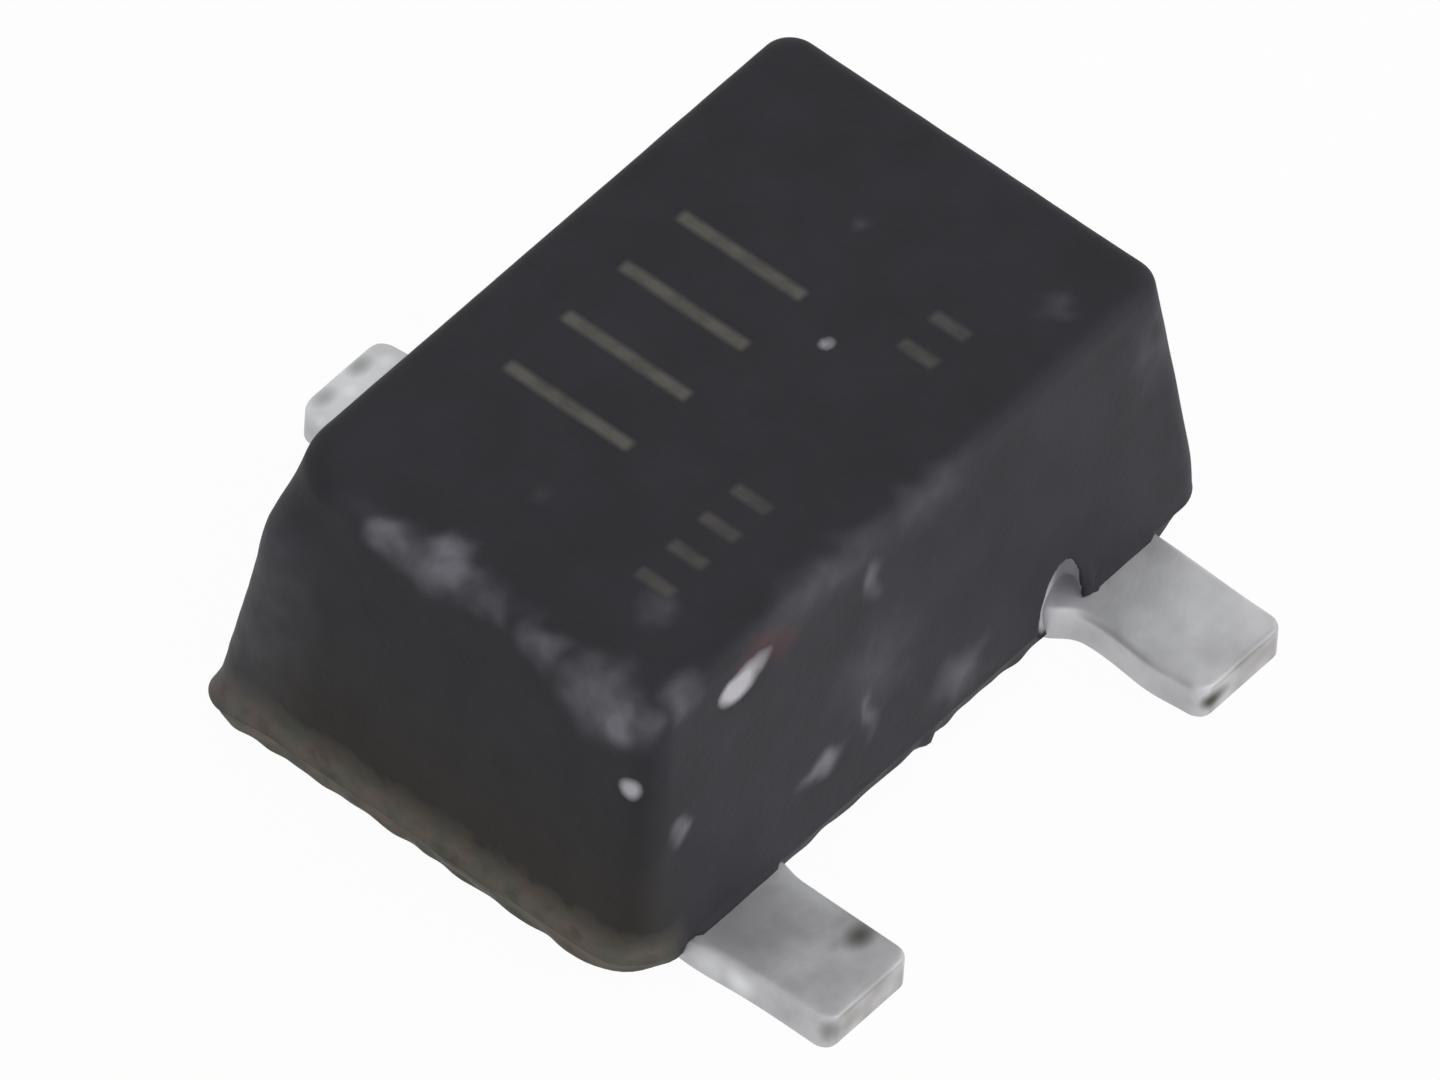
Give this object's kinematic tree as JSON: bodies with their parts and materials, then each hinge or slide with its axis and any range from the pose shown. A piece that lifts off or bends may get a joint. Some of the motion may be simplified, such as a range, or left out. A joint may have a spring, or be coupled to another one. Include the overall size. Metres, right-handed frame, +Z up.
{
  "type": "smd transistor",
  "caption": "Surface-mount transistor in a black moulded package with flat solder leads, formed lead frame, die and bond wires inside.",
  "frame": {"origin": "seating plane under the leads, at the middle of the package", "axes": "+X along the body's long side, from the base lead's end to the emitter lead's end; +Y from the base and emitter leads to the collector lead; +Z up, from the seating plane to the top face"},
  "size_m": [0.002, 0.002, 0.0009],
  "materials": {
    "resin": "matte",
    "tinned_lead": "satin",
    "silicon": "polished",
    "silver_paste": "matte",
    "gold_wire": "polished"
  },
  "bodies": {
    "root": {"moulded_body": "resin", "collector_lead": "tinned_lead", "base_lead": "tinned_lead", "emitter_lead": "tinned_lead", "silicon_die": "silicon", "die_attach": "silver_paste", "base_bond_wire": "gold_wire", "emitter_bond_wire": "gold_wire"}
  },
  "joints": []
}
